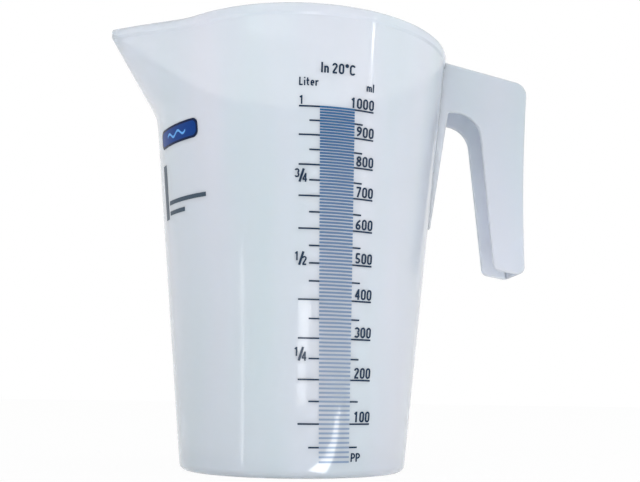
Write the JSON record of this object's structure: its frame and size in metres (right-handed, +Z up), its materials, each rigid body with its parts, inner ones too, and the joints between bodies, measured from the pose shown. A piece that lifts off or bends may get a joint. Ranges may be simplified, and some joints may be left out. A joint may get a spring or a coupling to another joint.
{
  "type": "measuring jug",
  "caption": "Clear plastic measuring jug: tapered vessel, raised pouring spout, open hook handle and a printed millilitre scale.",
  "frame": {"origin": "on the vessel's axis at the plane that the foot rests on", "axes": "+Z up, +X towards the handle, -X towards the spout, -Y towards the printed scale"},
  "size_m": [0.1752, 0.1244, 0.1796],
  "materials": {
    "polypropylene": "moulded, translucent, satin to gloss",
    "scale_ink": "matte",
    "numeral_ink": "matte",
    "label_navy": "matte",
    "label_blue": "matte",
    "label_white": "matte",
    "label_grey": "matte"
  },
  "bodies": {
    "root": {"vessel": "polypropylene", "handle": "polypropylene", "ten_ml_lines": "scale_ink", "left_ticks": "numeral_ink", "right_ticks": "numeral_ink", "ml_numerals": "numeral_ink", "fraction_numerals": "numeral_ink", "unit_marks": "numeral_ink", "temperature_mark": "numeral_ink", "material_mark": "numeral_ink", "label_frame": "label_navy", "label_field": "label_blue", "label_wave": "label_white", "label_bar": "label_grey", "label_rules": "label_grey"}
  },
  "joints": []
}
